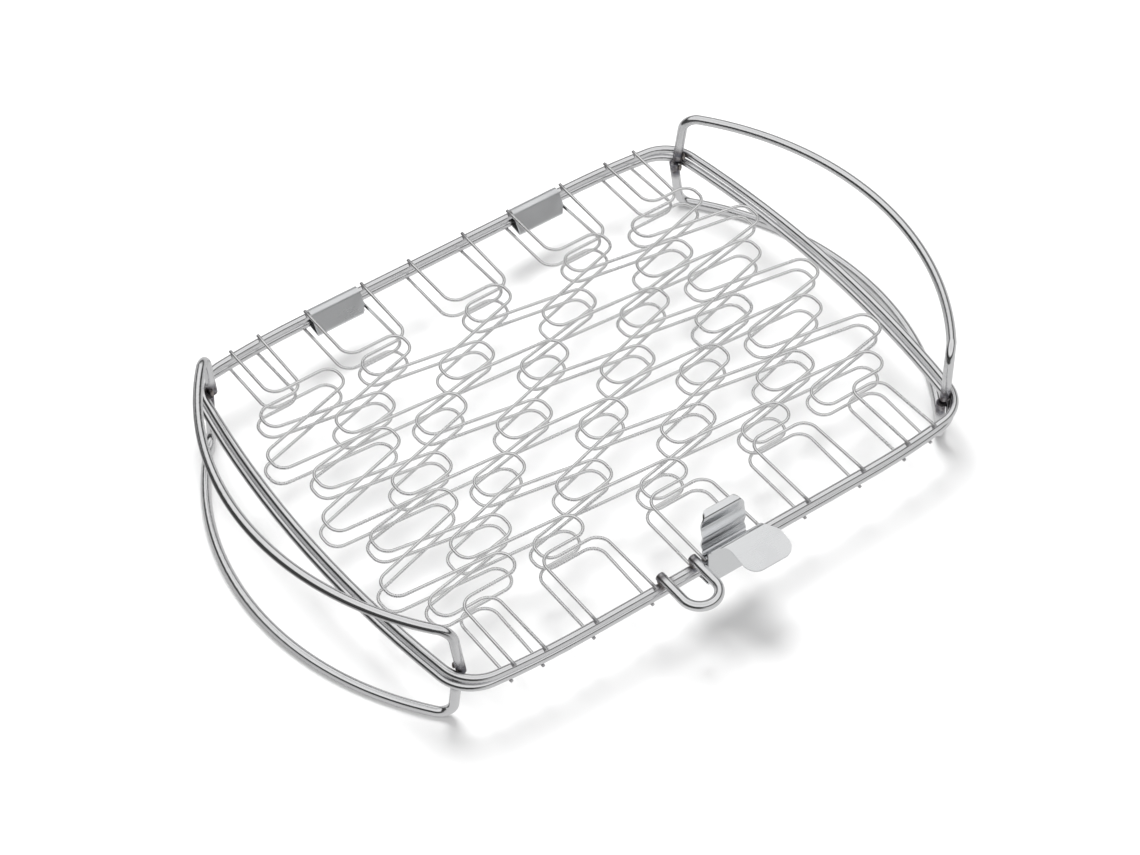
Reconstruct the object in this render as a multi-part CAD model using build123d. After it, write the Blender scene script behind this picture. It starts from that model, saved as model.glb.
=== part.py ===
from build123d import *
from math import atan2, cos, hypot, pi, sin, sqrt, tan
import os

# Hinged grill basket of stainless wire. Two rod frames, each filled with a mesh of zigzag wires,
# open like a book on two folded sheet sleeves along the back. Each frame has two bow handles, and
# the lower pair are the feet. A sprung sheet latch holds the front rods together, next to a wire
# thumb loop on the lid.
#
# Sizes are in millimetres. Z is up, X runs along the hinge and -Y is the front, where the latch is.
# Parts are drawn about the middle of the upper frame, with Z = 0 on the floor, and are moved at the
# end so that the origin is under the middle of the whole basket.

# Stock
ROD_D = 5.0  # frame rod
GRIP_D = 6.0  # wire of the handles and of the thumb loop
MESH_D = 2.0  # mesh wire
SHEET = 1.0  # sheet of the sleeves and the latch
WELD = 0.2  # depth that a welded wire sinks into the rod it lies on
STACK_GAP = 0.3  # air between the two closed frames
SHEET_GAP = 0.35  # air between a rod and the sheet that wraps it
WIRE_GAP = 0.5  # air between a mesh wire and the end of a sleeve or the side of the latch
SIDE_PLAY = 2.6  # the lower basket sits this far left of the upper one, as its hinge has play

# Frames: centre line of the rod
HALF_LENGTH = 190.0  # middle of the bowed short side
HALF_WIDTH = 148.4  # straight stretch of the long side
STRAIGHT = 100.0  # half of that stretch
SHOULDER_R = 500.0  # long side, past the straight stretch
END_R = 778.0  # bowed short side
CORNER_R = 24.0

# Handles
HANDLE_HEIGHT = 32.2  # from the rod to the bow, centre to centre
HANDLE_OUT = 34.8  # middle of the bow, outward of the short side
HANDLE_INSET = 17.9  # from the line of the long side to a leg, at the frame
HANDLE_LEAN = 2.5  # how far a leg leans in from foot to knee
HANDLE_FLARE = 3.0  # how far a leg leans outward from foot to knee
KNEE = 9.0  # length of leg and of bow that the bend at a knee takes up
LEG_STOP = 0.9  # how far the middle of a leg stops short of the plane between the frames

# Mesh
ZIG_PITCH = 59.5  # from one turn to the next on the same side
ZIG_HALF = 35.0  # half width of a zigzag, out to the wire's centre line
TURN_HEIGHT = 17.0
TURN_FILL = 0.97  # share of half the turn's height that its corners are rounded to
LEG_BEND_R = 9.0
LEG_OVERHANG = 2.2  # how far a wire runs past the middle of the rod
CROSSING_GAP = 0.15  # air between the two layers of a mesh, the inner one towards the other basket
RIGHT_STARTS = (94.0, 57.0)  # first right turn and first left turn of a wire that starts right
LEFT_STARTS = (61.0, 90.0)  # the same of a wire that starts left
TURNS = 7
# Mesh wires from left to right: place of the two legs, middle of the zigzag, side of the first turn
MESH_WIRES = (
    (-148.6, -141.3, 1),
    (-128.4, -126.9, -1),
    (-94.6, -94.2, 1),
    (-54.0, -55.9, -1),
    (-19.7, -20.8, 1),
    (20.4, 19.2, -1),
    (54.6, 54.2, 1),
    (95.0, 92.7, -1),
    (129.0, 124.7, 1),
    (150.2, 144.1, -1),
)
SLEEVE_WIRES = {"left": (2, 3), "right": (6, 7)}  # places in the list of the wires beside each sleeve
LATCH_WIRES = (4, 5)  # and of those beside the latch

# Hinge sleeves
FLANGE_IN = 8.3  # tip of the flange, inward of the rods
FLANGE_DOWN = 3.4  # and below the middle of the lower rod
FLANGE_TIP_R = 0.5
FLANGE_CORNER = 4.0

# Thumb loop
LOOP_X = -37.0
LOOP_SPREAD = 22.4  # between the centre lines of the legs
LOOP_REACH = 29.5  # tip, outward of the rod
LOOP_TAIL = 3.0  # leg ends, inward of the rod

# Latch: its profile is drawn outward and up from the middle of the lower front rod
TAB_RIGHT = 12.2
CHANNEL_LEFT = -20.4
WING_RIGHT = 22.0
WING_LEFT = -10.3
WING_REACH = 31.3
WING_TOP = 21.5  # where the lines of the outer wall and of the wing meet
WING_BEND_R = 4.5
WING_DROP = 4.8
WING_CORNER_R = 8.5
WING_ROOT_R = 6.0
WING_FLARE = 8.0  # how far out the right edge reaches its full width
WALL_OUT = 6.4  # middle of the channel's outer wall, at the floor
WALL_IN = 3.6  # the same at the wing
FLOOR_DOWN = 8.4  # middle of the channel's floor
CHANNEL_BEND_R = 2.6
SEAM_UP = 2.6  # where the channel stops on the back of the tab
TAB_WAVES = ((0, 6.5), (1.7, 9), (0.3, 16), (2.3, 23), (2, 29), (5.4, 31.6))  # inward, up from the upper rod
TAB_BEND_R = 2.0
TAB_CORNER_R = 9.0
CURL_END = 10.0  # degrees above level where the curl round the rod stops

GRIP_R = GRIP_D / 2
ROD_R = ROD_D / 2
MESH_R = MESH_D / 2
LOWER_Z = GRIP_R + HANDLE_HEIGHT
UPPER_Z = LOWER_Z + ROD_D + STACK_GAP
SPLIT_Z = (LOWER_Z + UPPER_Z) / 2
WRAP_R = ROD_R + SHEET_GAP  # inside of a sheet that wraps a rod
HANDLE_REACH = HALF_LENGTH + HANDLE_OUT
HANDLE_SPREAD = HALF_WIDTH - HANDLE_INSET
TAB_TOP = ROD_D + STACK_GAP + TAB_WAVES[-1][1]
MESH_SEAT = ROD_R + MESH_R - WELD  # a mesh wire on its rod, centre to centre
CROSSING_DROP = MESH_D + CROSSING_GAP


def leg_edge(wire, basket_x, side):
    """Where a part may reach to beside one mesh wire's leg, in the basket that is moved by basket_x."""
    return MESH_WIRES[wire][0] + basket_x + side * (MESH_R + WIRE_GAP)


TAB_LEFT = leg_edge(LATCH_WIRES[0], 0, 1)
CHANNEL_RIGHT = leg_edge(LATCH_WIRES[1], -SIDE_PLAY, -1)
BACK_EDGE = HALF_WIDTH + WRAP_R + SHEET
FRONT_EDGE = max(HALF_WIDTH + LOOP_REACH + GRIP_R, HALF_WIDTH + WING_REACH + SHEET)
CENTRE_SHIFT = (FRONT_EDGE - BACK_EDGE) / 2


def towards(start, end, distance):
    """The point at a distance from start, in the direction of end."""
    step = distance / hypot(end[0] - start[0], end[1] - start[1])
    return (start[0] + (end[0] - start[0]) * step, start[1] + (end[1] - start[1]) * step)


def circles_meet(centre_a, radius_a, centre_b, radius_b):
    """Where two circles cross, on the side of centre_a and centre_b that faces +X."""
    gap = hypot(centre_b[0] - centre_a[0], centre_b[1] - centre_a[1])
    along = (radius_a**2 - radius_b**2 + gap**2) / (2 * gap)
    across = sqrt(radius_a**2 - along**2)
    foot = towards(centre_a, centre_b, along)
    ux = (centre_b[0] - centre_a[0]) / gap
    uy = (centre_b[1] - centre_a[1]) / gap
    return max((foot[0] - uy * across, foot[1] + ux * across), (foot[0] + uy * across, foot[1] - ux * across))


SHOULDER_C = (STRAIGHT, HALF_WIDTH - SHOULDER_R)
END_C = (HALF_LENGTH - END_R, 0.0)
CORNER_C = circles_meet(SHOULDER_C, SHOULDER_R - CORNER_R, END_C, END_R - CORNER_R)
SHOULDER_END = towards(SHOULDER_C, CORNER_C, SHOULDER_R)
BOW_END = towards(END_C, CORNER_C, END_R)


def rod_y(x):
    """How far the long side's centre line is from the middle, at x."""
    past = max(abs(x) - STRAIGHT, 0.0)
    return HALF_WIDTH - SHOULDER_R + sqrt(SHOULDER_R**2 - past**2)


def inside_end(y, inset):
    """How far out a point is that lies inset from the short side's centre line, at y."""
    if abs(y) > BOW_END[1]:
        return CORNER_C[0] + sqrt((CORNER_R - inset) ** 2 - (abs(y) - CORNER_C[1]) ** 2)
    return END_C[0] + sqrt((END_R - inset) ** 2 - y**2)


def round_bar(path, diameter):
    """A round bar along a path."""
    section = Plane(path @ 0, z_dir=path % 0) * Circle(diameter / 2)
    return sweep(section, path=path)


def frame(z):
    """One closed rod frame with straight-middled long sides and bowed short sides."""
    half_turn = atan2(SHOULDER_END[0] - STRAIGHT, SHOULDER_END[1] - SHOULDER_C[1]) / 2
    shoulder_mid = (SHOULDER_C[0] + SHOULDER_R * sin(half_turn), SHOULDER_C[1] + SHOULDER_R * cos(half_turn))
    corner_aim = ((SHOULDER_END[0] + BOW_END[0]) / 2, (SHOULDER_END[1] + BOW_END[1]) / 2)
    corner_mid = towards(CORNER_C, corner_aim, CORNER_R)
    edges = []
    for sy in (1, -1):
        edges.append(Line((-STRAIGHT, sy * HALF_WIDTH, z), (STRAIGHT, sy * HALF_WIDTH, z)))
    for sx in (1, -1):
        tips = [(sx * BOW_END[0], sy * BOW_END[1], z) for sy in (1, -1)]
        edges.append(ThreePointArc(tips[0], (sx * HALF_LENGTH, 0, z), tips[1]))
        for sy in (1, -1):
            places = ((STRAIGHT, HALF_WIDTH), shoulder_mid, SHOULDER_END, corner_mid, BOW_END)
            start, shoulder, middle, corner, end = [(sx * x, sy * y, z) for x, y in places]
            edges.append(ThreePointArc(start, shoulder, middle))
            edges.append(ThreePointArc(middle, corner, end))
    return round_bar(Wire(edges), ROD_D)


def handle(side, level):
    """A bow handle on one short side: up from the upper frame, or down from the lower one."""
    rod_z = UPPER_Z if level > 0 else LOWER_Z
    bow_z = rod_z + level * HANDLE_HEIGHT
    knee_spread = HANDLE_SPREAD - HANDLE_LEAN
    inset = ROD_R + GRIP_R - WELD
    foot_x = inside_end(HANDLE_SPREAD, inset)
    knee_x = foot_x + HANDLE_FLARE
    step = HANDLE_REACH - knee_x
    bow_r = (step**2 + knee_spread**2 - KNEE**2) / (2 * step)
    bow_mid = Vector(side * HANDLE_REACH, 0, bow_z)
    legs = []
    bow_ends = []
    for end in (1, -1):
        foot = Vector(side * foot_x, end * HANDLE_SPREAD, SPLIT_Z + level * LEG_STOP)
        knee = Vector(side * knee_x, end * knee_spread, bow_z)
        turn = atan2(KNEE, bow_r) + atan2(knee_spread, knee_x - (HANDLE_REACH - bow_r))
        along = Vector(side * sin(turn), -end * cos(turn), 0)
        up = (knee - foot).normalized()
        leg_top = knee - up * KNEE
        bow_end = knee + along * KNEE
        opening = up.get_angle(along) * pi / 360
        bend_r = KNEE / tan(opening)
        bend_mid = knee + (along - up).normalized() * (bend_r / cos(opening) - bend_r)
        legs.append((foot, leg_top, bend_mid, bow_end))
        bow_ends.append(bow_end)
    first, second = legs
    path = Wire(
        [
            Line(first[0], first[1]),
            ThreePointArc(first[1], first[2], first[3]),
            ThreePointArc(bow_ends[0], bow_mid, bow_ends[1]),
            ThreePointArc(second[3], second[2], second[1]),
            Line(second[1], second[0]),
        ]
    )
    return round_bar(path, GRIP_D)


def mesh_wire(leg_x, centre_x, first_side, level):
    """One zigzag wire of a mesh, with both its legs welded to the outside of the frame's rod."""
    rod_z = UPPER_Z if level > 0 else LOWER_Z
    seat_z = rod_z + level * MESH_SEAT
    field_z = seat_z if first_side > 0 else seat_z - level * CROSSING_DROP
    starts = RIGHT_STARTS if first_side > 0 else LEFT_STARTS
    rod = rod_y(leg_x)
    corners = []
    for turn in range(TURNS):
        side = first_side * (1 if turn % 2 == 0 else -1)
        start = starts[0] if side > 0 else starts[1]
        turn_y = start - ZIG_PITCH * (turn // 2)
        for offset in (TURN_HEIGHT / 2, -TURN_HEIGHT / 2):
            corners.append((centre_x + side * ZIG_HALF, turn_y + offset, field_z))
    legs = []
    for end, turn_y in ((1, corners[0][1]), (-1, corners[-1][1])):
        slope = (seat_z - field_z) / (end * rod - turn_y)
        tip_y = end * (rod + LEG_OVERHANG)
        tip_z = field_z + slope * (tip_y - turn_y)
        legs.append([(leg_x, tip_y, tip_z), (leg_x, turn_y, field_z)])
    turn_r = TURN_HEIGHT / 2 * TURN_FILL
    radii = [LEG_BEND_R] + [turn_r] * len(corners) + [LEG_BEND_R]
    return round_bar(FilletPolyline(*legs[0], *corners, *reversed(legs[1]), radius=radii), MESH_D)


def hinge_sleeve(wires):
    """A folded sheet sleeve round both back rods, between two wires, with its flange turned in and down."""
    upper = (HALF_WIDTH, UPPER_Z)
    lower = (HALF_WIDTH, LOWER_Z)
    tip = (HALF_WIDTH - FLANGE_IN, LOWER_Z - FLANGE_DOWN)
    hollow = [Pos(*upper) * Circle(WRAP_R), Pos(*lower) * Circle(WRAP_R), Pos(*tip) * Circle(FLANGE_TIP_R)]
    edges = [face.edges()[0] for face in hollow]
    inside = make_hull(edges)
    outside = offset(inside, amount=SHEET)
    profile = outside - inside
    left = leg_edge(wires[0], 0, 1)
    right = leg_edge(wires[1], -SIDE_PLAY, -1)
    plane = Plane(origin=(left, 0, 0), x_dir=(0, 1, 0), z_dir=(1, 0, 0))
    sleeve = extrude(plane * profile, amount=right - left)
    notch_y = tip[0] - FLANGE_TIP_R - SHEET
    notch = Rot(Z=45) * Box(FLANGE_CORNER, FLANGE_CORNER, 4 * ROD_D)
    return sleeve - Pos(right, notch_y, tip[1]) * notch


def thumb_loop():
    """A U of wire on the lid's front rod, to lift the lid by."""
    z = UPPER_Z + ROD_R + GRIP_R - WELD
    bend_r = LOOP_SPREAD / 2
    bend_y = -HALF_WIDTH - LOOP_REACH + bend_r
    left = LOOP_X - bend_r
    right = LOOP_X + bend_r
    tail_y = -HALF_WIDTH + LOOP_TAIL
    path = Wire(
        [
            Line((left, tail_y, z), (left, bend_y, z)),
            ThreePointArc((left, bend_y, z), (LOOP_X, bend_y - bend_r, z), (right, bend_y, z)),
            Line((right, bend_y, z), (right, tail_y, z)),
        ]
    )
    return round_bar(path, GRIP_D)


def latch_strip(profile, left, right):
    """Sheet of one profile, given outward and up from the lower front rod, between two places in X."""
    plane = Plane(origin=(left, -HALF_WIDTH, LOWER_Z), x_dir=(0, -1, 0), z_dir=(-1, 0, 0))
    strip = make_face(offset(profile, amount=SHEET / 2, side=Side.BOTH))
    return extrude(plane * strip, amount=left - right)


def latch_tab():
    """The wavy tab behind the rods, which curls under the lower rod."""
    back = -WRAP_R - SHEET / 2
    curl_r = -back
    end = CURL_END * pi / 180
    rise = ROD_D + STACK_GAP
    waves = [(back - inward, rise + up) for inward, up in TAB_WAVES]
    curl = ThreePointArc((curl_r * cos(end), curl_r * sin(end)), (0, -curl_r), (back, 0))
    wall = FilletPolyline((back, 0), *waves, radius=TAB_BEND_R)
    strip = latch_strip(Wire([curl] + list(wall.edges())), TAB_LEFT, TAB_RIGHT)
    width = TAB_RIGHT - TAB_LEFT
    middle = (TAB_LEFT + TAB_RIGHT) / 2
    height = 2 * (TAB_TOP + SHEET)
    outline = Plane.XZ * Pos(middle, LOWER_Z) * RectangleRounded(width, height, TAB_CORNER_R)
    keep = extrude(outline, amount=2 * HALF_WIDTH, both=True)
    below = Pos(middle, -HALF_WIDTH, LOWER_Z) * Box(width, 8 * ROD_D, TAB_TOP)
    return strip & (keep + below)


def latch_thumb_plate():
    """The channel under and in front of the rods, which ends in the wing that the thumb lifts."""
    seam = -WRAP_R - 1.5 * SHEET
    channel_points = (
        (seam, SEAM_UP),
        (seam, -FLOOR_DOWN),
        (WALL_OUT, -FLOOR_DOWN),
        (WALL_IN, WING_TOP),
        (WING_REACH, WING_TOP - WING_DROP),
    )
    radii = [CHANNEL_BEND_R, CHANNEL_BEND_R, WING_BEND_R]
    strip = latch_strip(FilletPolyline(*channel_points, radius=radii), CHANNEL_LEFT, WING_RIGHT)
    root_y = -HALF_WIDTH - WALL_OUT - SHEET
    tip_y = -HALF_WIDTH - WING_REACH
    outline = Polyline(
        (CHANNEL_LEFT, 0),
        (CHANNEL_LEFT, root_y),
        (WING_LEFT, root_y),
        (WING_LEFT, tip_y),
        (WING_RIGHT, tip_y),
        (WING_RIGHT, root_y - WING_FLARE),
        (CHANNEL_RIGHT, root_y),
        (CHANNEL_RIGHT, 0),
        close=True,
    )
    face = make_face(outline)
    corner_radii = (
        (WING_LEFT, root_y, WING_ROOT_R),
        (WING_LEFT, tip_y, WING_CORNER_R),
        (WING_RIGHT, tip_y, WING_CORNER_R),
        (WING_RIGHT, root_y - WING_FLARE, WING_ROOT_R),
    )
    for x, y, radius in corner_radii:
        corner = face.vertices().sort_by_distance((x, y, 0))[0]
        face = fillet(corner, radius)
    return strip & extrude(face, amount=4 * TAB_TOP)


def write(name, shape, left=0.0):
    """Move one sub-part to the basket's own origin, and further left if it is said, and write it."""
    placed = Pos(SIDE_PLAY / 2 - left, CENTRE_SHIFT, 0) * shape
    placed.label = name
    export_step(placed, f"parts/{name}.step")


def build():
    os.makedirs("parts", exist_ok=True)
    for name, level, z, left in (("lower", -1, LOWER_Z, SIDE_PLAY), ("upper", 1, UPPER_Z, 0)):
        write(f"{name}_frame", frame(z), left)
        for side_name, side in (("left", -1), ("right", 1)):
            write(f"{name}_handle_{side_name}", handle(side, level), left)
        for number, (leg_x, centre_x, first_side) in enumerate(MESH_WIRES, start=1):
            write(f"{name}_mesh_wire_{number:02d}", mesh_wire(leg_x, centre_x, first_side, level), left)
    for side_name, wires in SLEEVE_WIRES.items():
        write(f"hinge_sleeve_{side_name}", hinge_sleeve(wires))
    write("thumb_loop", thumb_loop())
    write("latch_tab", latch_tab())
    write("latch_thumb_plate", latch_thumb_plate())


build()
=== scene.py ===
from math import cos, radians, sin

import bmesh
import bpy
from mathutils import Matrix, Vector, noise


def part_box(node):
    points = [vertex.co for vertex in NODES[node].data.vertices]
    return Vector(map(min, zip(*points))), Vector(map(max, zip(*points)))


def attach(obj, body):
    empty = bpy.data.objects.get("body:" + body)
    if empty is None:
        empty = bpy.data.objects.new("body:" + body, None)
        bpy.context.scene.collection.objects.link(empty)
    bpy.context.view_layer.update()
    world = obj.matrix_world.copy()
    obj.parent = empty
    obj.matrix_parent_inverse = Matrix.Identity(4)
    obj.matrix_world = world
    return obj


# A hinged grill basket of stainless wire on a pale studio floor. All the shapes are the CAD model's.
# This script gives them their steel, adds the weld beads, and sets up the floor, light and camera.
# Metres throughout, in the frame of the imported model: Z is up, X runs along the hinge, -Y is the front.

# Camera
LENS = 98.17  # mm, on a sensor this wide
SENSOR = 36.0
AZIMUTH = -34.99  # degrees, to the left of the front
ELEVATION = 47.08
ROLL = -1.0
DISTANCE = 1.81496
TARGET = Vector((-0.01973, -0.01992, 0.0))  # from the middle of the upper frame

# Studio: how bright the surroundings are, and between which heights (0 level, 1 straight up)
CEILING_LIGHT = 1.0
CEILING_FROM = 0.50
CEILING_FULL = 0.68
ZENITH_FROM = 0.8
ZENITH_SHARE = 0.86  # of the ceiling's light, straight up
HORIZON_LIGHT = 0.62
HORIZON_FULL = 0.24
HORIZON_TO = 0.38
DARK_CARD = 0.04
HORIZON_DARK_X = -0.6  # the horizon is dark on the left, and light from the second value on
HORIZON_LIGHT_X = -0.1

# Lamps: place, width, and power in watts
KEY_LAMP = ((0.25, 0.55, 1.7), 1.0, 26.0)
FILL_LAMP = ((-0.9, -0.9, 2.0), 1.4, 7.0)

# Floor
FLOOR_SIZE = 30.0
PAPER = (0.93, 0.93, 0.93, 1.0)
FLOOR_DARK_X = -0.40  # the floor that steel reflects is dark on the left, as the horizon is
FLOOR_LIGHT_X = -0.16

# Steel
BRIGHT = (0.87, 0.87, 0.88)
WIRE_BRIGHT = (0.93, 0.93, 0.93)
SHEET_BRIGHT = (0.91, 0.92, 0.93)
BEAD_BRIGHT = (0.34, 0.31, 0.29)
CLOUDY = (0.76, 0.76, 0.77)
ROD_ROUGHNESS = 0.13
WIRE_ROUGHNESS = 0.2
SLEEVE_ROUGHNESS = 0.3
TAB_ROUGHNESS = 0.16
WING_ROUGHNESS = 0.24
BEAD_ROUGHNESS = 0.34
# Grain: noise scale, its stretch along X, Y and Z, and depth of the bump
ROD_GRAIN = (900.0, (0.12, 1.0, 1.0), 0.00004)
WIRE_GRAIN = (1400.0, (1.0, 0.3, 1.0), 0.00002)
SHEET_GRAIN = (1500.0, (0.05, 1.0, 1.0), 0.00002)
BEAD_GRAIN = (700.0, (1.0, 1.0, 1.0), 0.0001)
BUMP_STRENGTH = 0.35
CLOUD_SCALE = 38.0

# Weld tint with painted contact shade, which darkens the steel at the welds: full within the first distance
# of a weld, gone beyond the second
WELD_TINT_AND_SHADE_BROWN = (0.16, 0.12, 0.09)
WELD_TINT_AND_SHADE_BLUE = (0.14, 0.16, 0.22)
ROD_WELD_TINT_AND_SHADE = (0.0025, 0.0085)
GRIP_WELD_TINT_AND_SHADE = (0.0045, 0.0115)
WIRE_WELD_TINT_AND_SHADE = (0.0008, 0.0050)  # inward of the long rods
LOOP_WELD_TINT_AND_SHADE = (-0.0005, 0.0045)  # outward of the front rod
WIRE_TINT_AND_SHADE_SHARE = 0.6
LOOP_TINT_AND_SHADE_SHARE = 0.9
TINT_AND_SHADE_SPECKLE = 420.0
TINT_AND_SHADE_HUES = 260.0
HEAT_DULLING = 0.22

# Handle legs, thumb loop and weld beads
GRIP_R = 0.003
LEG_INSET = 0.0045  # middle of a leg, inward of the end of the handle's box
BEAD_LENGTH = 0.0052
BEAD_WIDTH = 0.0022
BEAD_RIPPLE = 0.16  # depth of the ripples, as a share of the bead's width
BEAD_RIPPLE_SCALE = 2.2
BEAD_SEED_STEP = 7.3
LEG_BEAD = Vector((0.0022, 0.0021, 0.0012))  # outward, to the side and away from the other basket
LOOP_BEAD = Vector((0.0021, 0.0, 0.0007))  # to the side and up

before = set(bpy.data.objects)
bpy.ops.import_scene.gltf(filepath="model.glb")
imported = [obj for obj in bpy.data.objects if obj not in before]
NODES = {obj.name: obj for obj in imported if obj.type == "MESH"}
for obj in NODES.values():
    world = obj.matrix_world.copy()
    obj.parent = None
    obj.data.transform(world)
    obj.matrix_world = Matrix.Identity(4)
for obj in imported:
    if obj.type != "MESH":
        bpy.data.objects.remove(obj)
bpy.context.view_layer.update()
ROD_R = (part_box("upper_frame")[1].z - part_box("upper_frame")[0].z) / 2
UPPER_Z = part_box("upper_frame")[1].z - ROD_R
LOWER_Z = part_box("lower_frame")[1].z - ROD_R
MIDDLE = (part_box("upper_frame")[0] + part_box("upper_frame")[1]) / 2
FRONT_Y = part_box("upper_frame")[0].y + ROD_R
BACK_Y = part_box("upper_frame")[1].y - ROD_R


class Nodes:
    """A short way to build the nodes of one material, or of the world."""

    def __init__(self, owner, output, place):
        owner.use_nodes = True
        self.owner = owner
        self.tree = owner.node_tree
        self.tree.nodes.clear()
        self.output = self.add(output)
        self.place = self.add("ShaderNodeTexCoord").outputs[place]

    def add(self, kind, **settings):
        node = self.tree.nodes.new(kind)
        for key, value in settings.items():
            setattr(node, key, value)
        return node

    def link(self, source, target):
        self.tree.links.new(source, target)

    def math(self, operation, first, second=None):
        node = self.add("ShaderNodeMath", operation=operation)
        for socket, value in zip(node.inputs, (first, second)):
            if isinstance(value, (int, float)):
                socket.default_value = value
            elif value is not None:
                self.link(value, socket)
        return node.outputs[0]

    def ramp(self, value, low, high, start=0.0, end=1.0):
        """Smooth steps from start to end, as the value goes from low to high."""
        node = self.add("ShaderNodeMapRange", interpolation_type="SMOOTHSTEP")
        self.link(value, node.inputs["Value"])
        for socket, number in zip(("From Min", "From Max", "To Min", "To Max"), (low, high, start, end)):
            node.inputs[socket].default_value = number
        return node.outputs["Result"]

    def noise(self, scale, detail=3.0, stretch=(1.0, 1.0, 1.0)):
        mapping = self.add("ShaderNodeMapping")
        mapping.inputs["Scale"].default_value = stretch
        self.link(self.place, mapping.inputs["Vector"])
        node = self.add("ShaderNodeTexNoise")
        node.inputs["Scale"].default_value = scale
        node.inputs["Detail"].default_value = detail
        self.link(mapping.outputs["Vector"], node.inputs["Vector"])
        return node.outputs["Fac"]

    def mix(self, factor, first, second):
        node = self.add("ShaderNodeMix", data_type="RGBA")
        self.link(factor, node.inputs["Factor"])
        for socket, colour in ((node.inputs[6], first), (node.inputs[7], second)):
            if isinstance(colour, tuple):
                socket.default_value = (*colour, 1.0)
            else:
                self.link(colour, socket)
        return node.outputs[2]

    def near(self, point, inner, outer):
        """1 within the inner distance of a point, 0 beyond the outer one."""
        node = self.add("ShaderNodeVectorMath", operation="DISTANCE")
        node.inputs[1].default_value = point
        self.link(self.place, node.inputs[0])
        return self.ramp(node.outputs["Value"], inner, outer, 1.0, 0.0)

    def axis(self, name):
        node = self.add("ShaderNodeSeparateXYZ")
        self.link(self.place, node.inputs[0])
        return node.outputs[name]


def new_material(name):
    return Nodes(bpy.data.materials.new(name), "ShaderNodeOutputMaterial", "Object")


def steel(name, bright, roughness, grain, tint_and_shade=None):
    """Stainless steel with drawn grain, faint clouds and, where a mask is given, weld tint with painted
    contact shade that darkens it at the welds.
    """
    scale, stretch, depth = grain
    n = new_material(name)
    clouds = n.noise(CLOUD_SCALE, 4.0)
    fine = n.noise(scale, 5.0, stretch)
    colour = n.mix(n.ramp(clouds, 0.48, 0.78, 0.0, 0.5), bright, CLOUDY)
    cloud_gloss = n.ramp(clouds, 0.3, 0.7, roughness * 0.8, roughness * 1.3)
    gloss = n.math("ADD", cloud_gloss, n.ramp(fine, 0.3, 0.7, 0.0, 0.04))
    if tint_and_shade:
        mask = tint_and_shade(n)
        # Weld tint with painted contact shade: the colour goes dark near the welds, unevenly.
        uneven_tint_and_shade = n.math("MULTIPLY", mask, n.ramp(n.noise(TINT_AND_SHADE_SPECKLE, 4.0), 0.25, 0.6, 0.55, 1.0))
        tint_and_shade_colour = n.mix(n.noise(TINT_AND_SHADE_HUES), WELD_TINT_AND_SHADE_BROWN, WELD_TINT_AND_SHADE_BLUE)
        colour = n.mix(uneven_tint_and_shade, colour, tint_and_shade_colour)
        gloss = n.math("ADD", gloss, n.math("MULTIPLY", uneven_tint_and_shade, HEAT_DULLING))
    bump = n.add("ShaderNodeBump")
    bump.inputs["Strength"].default_value = BUMP_STRENGTH
    bump.inputs["Distance"].default_value = depth
    n.link(fine, bump.inputs["Height"])
    shader = n.add("ShaderNodeBsdfPrincipled")
    shader.inputs["Metallic"].default_value = 1.0
    n.link(colour, shader.inputs["Base Color"])
    n.link(gloss, shader.inputs["Roughness"])
    n.link(bump.outputs["Normal"], shader.inputs["Normal"])
    n.link(shader.outputs[0], n.output.inputs["Surface"])
    return n.owner


def leg_feet(level):
    """Where the four legs of one basket's handles meet its rod."""
    z = UPPER_Z if level == "upper" else LOWER_Z
    feet = []
    for side, sign in (("left", -1), ("right", 1)):
        low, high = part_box(f"{level}_handle_{side}")
        inner_x = high.x if sign < 0 else low.x
        for y in (low.y + LEG_INSET, high.y - LEG_INSET):
            feet.append(Vector((inner_x + sign * GRIP_R, y, z)))
    return feet


def loop_feet():
    """Where the two legs of the thumb loop lie on the front rod."""
    low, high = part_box("thumb_loop")
    return [Vector((x, FRONT_Y, UPPER_Z + ROD_R)) for x in (low.x + GRIP_R, high.x - GRIP_R)]


def tint_and_shade_at(points, inner, outer):
    """A mask of round spots at the welds, where weld tint and painted contact shade darken the steel."""

    def mask(n):
        total = None
        for point in points:
            spot = n.near(point, inner, outer)
            total = spot if total is None else n.math("MAXIMUM", total, spot)
        return total

    return mask


def tint_and_shade_at_wire_ends(n):
    """The mesh wires' ends, where they lie on the long rods, get weld tint and painted contact shade."""
    from_middle = n.math("ABSOLUTE", n.math("SUBTRACT", n.axis("Y"), MIDDLE.y))
    reach = BACK_Y - MIDDLE.y
    full, gone = WIRE_WELD_TINT_AND_SHADE
    return n.ramp(from_middle, reach - gone, reach - full, 0.0, WIRE_TINT_AND_SHADE_SHARE)


def tint_and_shade_on_loop(n):
    """The thumb loop's ends, from just outside the front rod inward, get weld tint and painted contact
    shade.
    """
    full, gone = LOOP_WELD_TINT_AND_SHADE
    return n.ramp(n.axis("Y"), FRONT_Y - gone, FRONT_Y - full, 0.0, LOOP_TINT_AND_SHADE_SHARE)


def dress(nodes, material):
    for name in nodes:
        mesh = NODES[name].data
        mesh.materials.clear()
        mesh.materials.append(material)
        for polygon in mesh.polygons:
            polygon.material_index = 0


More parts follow.
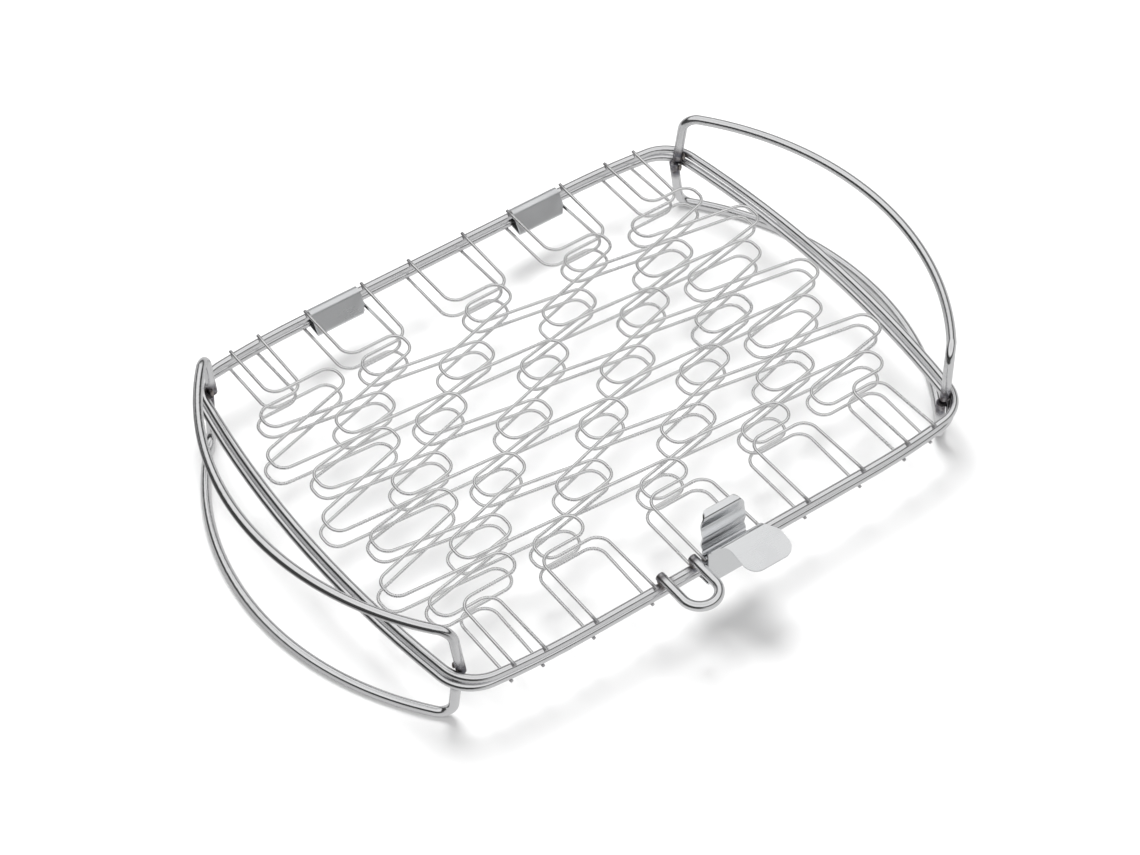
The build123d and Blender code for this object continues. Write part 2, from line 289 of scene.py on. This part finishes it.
def dress_rods():
    """The frames, the handles and the thumb loop."""
    for level in ("lower", "upper"):
        feet = leg_feet(level)
        spots = feet + (loop_feet() if level == "upper" else [])
        # Weld tint and painted contact shade around the welds of the handle legs and the thumb loop.
        rod = steel(f"{level}_rod_steel", BRIGHT, ROD_ROUGHNESS, ROD_GRAIN, tint_and_shade_at(spots, *ROD_WELD_TINT_AND_SHADE))
        dress([f"{level}_frame"], rod)
        grip = steel(f"{level}_grip_steel", BRIGHT, ROD_ROUGHNESS, ROD_GRAIN, tint_and_shade_at(feet, *GRIP_WELD_TINT_AND_SHADE))
        dress([f"{level}_handle_left", f"{level}_handle_right"], grip)
    dress(["thumb_loop"], steel("loop_steel", BRIGHT, ROD_ROUGHNESS, ROD_GRAIN, tint_and_shade_on_loop))


def dress_mesh():
    # The wires' ends get weld tint and painted contact shade where they lie on the rods.
    wire = steel("mesh_wire_steel", WIRE_BRIGHT, WIRE_ROUGHNESS, WIRE_GRAIN, tint_and_shade_at_wire_ends)
    dress([name for name in NODES if "mesh_wire" in name], wire)


def dress_sheet():
    """The hinge sleeves and the latch."""
    sleeve = steel("sleeve_steel", SHEET_BRIGHT, SLEEVE_ROUGHNESS, SHEET_GRAIN)
    dress(["hinge_sleeve_left", "hinge_sleeve_right"], sleeve)
    dress(["latch_tab"], steel("tab_steel", SHEET_BRIGHT, TAB_ROUGHNESS, SHEET_GRAIN))
    dress(["latch_thumb_plate"], steel("wing_steel", SHEET_BRIGHT, WING_ROUGHNESS, SHEET_GRAIN))


def weld_bead(name, body, place, along, seed, material):
    """A small rippled bead of weld, stretched in one direction."""
    mesh = bpy.data.meshes.new(name)
    bm = bmesh.new()
    bmesh.ops.create_icosphere(bm, subdivisions=4, radius=1.0)
    turn = Vector((1, 0, 0)).rotation_difference(along).to_matrix()
    shift = Vector((seed * BEAD_SEED_STEP, 0, 0))
    for vertex in bm.verts:
        ripple = 1 + BEAD_RIPPLE * noise.noise(vertex.co * BEAD_RIPPLE_SCALE + shift)
        size = Vector((BEAD_LENGTH / 2, BEAD_WIDTH / 2, BEAD_WIDTH / 2)) * ripple
        local = Vector((vertex.co.x * size.x, vertex.co.y * size.y, vertex.co.z * size.z))
        vertex.co = turn @ local + place
    bm.to_mesh(mesh)
    bm.free()
    for polygon in mesh.polygons:
        polygon.use_smooth = True
    bead = bpy.data.objects.new(name, mesh)
    bpy.context.scene.collection.objects.link(bead)
    bead.data.materials.append(material)
    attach(bead, body)


def bead_places():
    """Two beads in the grooves between each handle leg and the rod, and two beside each leg of the loop."""
    for level, body, away in (("lower", "base", -1), ("upper", "lid", 1)):
        for number, foot in enumerate(leg_feet(level), start=1):
            outward = 1 if foot.x > MIDDLE.x else -1
            for letter, side in (("a", 1), ("b", -1)):
                step = Vector((outward * LEG_BEAD.x, side * LEG_BEAD.y, away * LEG_BEAD.z))
                yield f"{level}_weld_{number}{letter}", body, foot + step, Vector((0, 0, 1))
    for number, foot in enumerate(loop_feet(), start=1):
        for letter, side in (("a", 1), ("b", -1)):
            step = Vector((side * LOOP_BEAD.x, 0, LOOP_BEAD.z))
            yield f"loop_weld_{number}{letter}", "lid", foot + step, Vector((0, 1, 0))


def weld_beads():
    material = steel("weld_steel", BEAD_BRIGHT, BEAD_ROUGHNESS, BEAD_GRAIN)
    for seed, (name, body, place, along) in enumerate(bead_places(), start=1):
        weld_bead(name, body, place, along, seed, material)


def floor():
    """A wide pale floor. Polished steel sees it greyer, as a studio's floor is beyond its paper."""
    bpy.ops.mesh.primitive_plane_add(size=FLOOR_SIZE, location=(0, 0, 0))
    plane = bpy.context.object
    plane.name = "floor"
    n = new_material("floor_paper")
    paper = n.add("ShaderNodeBsdfDiffuse")
    paper.inputs["Color"].default_value = PAPER
    grey = n.ramp(n.axis("X"), FLOOR_DARK_X, FLOOR_LIGHT_X, DARK_CARD, HORIZON_LIGHT)
    reflected = n.add("ShaderNodeEmission")
    n.link(grey, reflected.inputs["Strength"])
    path = n.add("ShaderNodeLightPath")
    mixed = n.add("ShaderNodeMixShader")
    n.link(path.outputs["Is Glossy Ray"], mixed.inputs["Fac"])
    n.link(paper.outputs[0], mixed.inputs[1])
    n.link(reflected.outputs[0], mixed.inputs[2])
    n.link(mixed.outputs[0], n.output.inputs["Surface"])
    plane.data.materials.append(n.owner)


def studio():
    """Soft white light from above, a dark band below it, and a light horizon that is dark on the left."""
    world = bpy.data.worlds.new("studio")
    bpy.context.scene.world = world
    n = Nodes(world, "ShaderNodeOutputWorld", "Generated")
    height = n.axis("Z")
    ceiling = n.ramp(height, CEILING_FROM, CEILING_FULL, 0.0, CEILING_LIGHT)
    zenith = n.ramp(height, ZENITH_FROM, 1.0, 1.0, ZENITH_SHARE)
    horizon = n.ramp(height, HORIZON_FULL, HORIZON_TO, 1.0, 0.0)
    sides = n.ramp(n.axis("X"), HORIZON_DARK_X, HORIZON_LIGHT_X, DARK_CARD, HORIZON_LIGHT)
    strength = n.math("ADD", n.math("MULTIPLY", ceiling, zenith), n.math("MULTIPLY", horizon, sides))
    background = n.add("ShaderNodeBackground")
    n.link(n.math("ADD", strength, DARK_CARD), background.inputs["Strength"])
    n.link(background.outputs[0], n.output.inputs["Surface"])


def softbox(name, place, size, power):
    """A round lamp aimed at the origin, which casts light but isn't itself mirrored in the steel."""
    light = bpy.data.lights.new(name, "AREA")
    light.shape = "DISK"
    light.size = size
    light.energy = power
    lamp = bpy.data.objects.new(name, light)
    bpy.context.scene.collection.objects.link(lamp)
    lamp.location = place
    lamp.rotation_euler = (-Vector(place)).to_track_quat("-Z", "Y").to_euler()
    lamp.visible_glossy = False


def camera():
    azimuth = radians(AZIMUTH)
    elevation = radians(ELEVATION)
    back = Vector((sin(azimuth) * cos(elevation), -cos(azimuth) * cos(elevation), sin(elevation)))
    right = Vector((cos(azimuth), sin(azimuth), 0.0))
    up = back.cross(right)
    roll = radians(ROLL)
    tilted_right = cos(roll) * right + sin(roll) * up
    tilted_up = cos(roll) * up - sin(roll) * right
    place = MIDDLE + TARGET + back * DISTANCE
    turn = Matrix((tilted_right, tilted_up, back)).transposed().to_4x4()
    data = bpy.data.cameras.new("camera")
    data.lens = LENS
    data.sensor_width = SENSOR
    eye = bpy.data.objects.new("camera", data)
    bpy.context.scene.collection.objects.link(eye)
    eye.matrix_world = Matrix.Translation(place) @ turn
    bpy.context.scene.camera = eye


dress_rods()
dress_mesh()
dress_sheet()
weld_beads()
floor()
studio()
softbox("key_softbox", *KEY_LAMP)
softbox("fill_softbox", *FILL_LAMP)
camera()
bpy.context.scene.view_settings.view_transform = "Standard"
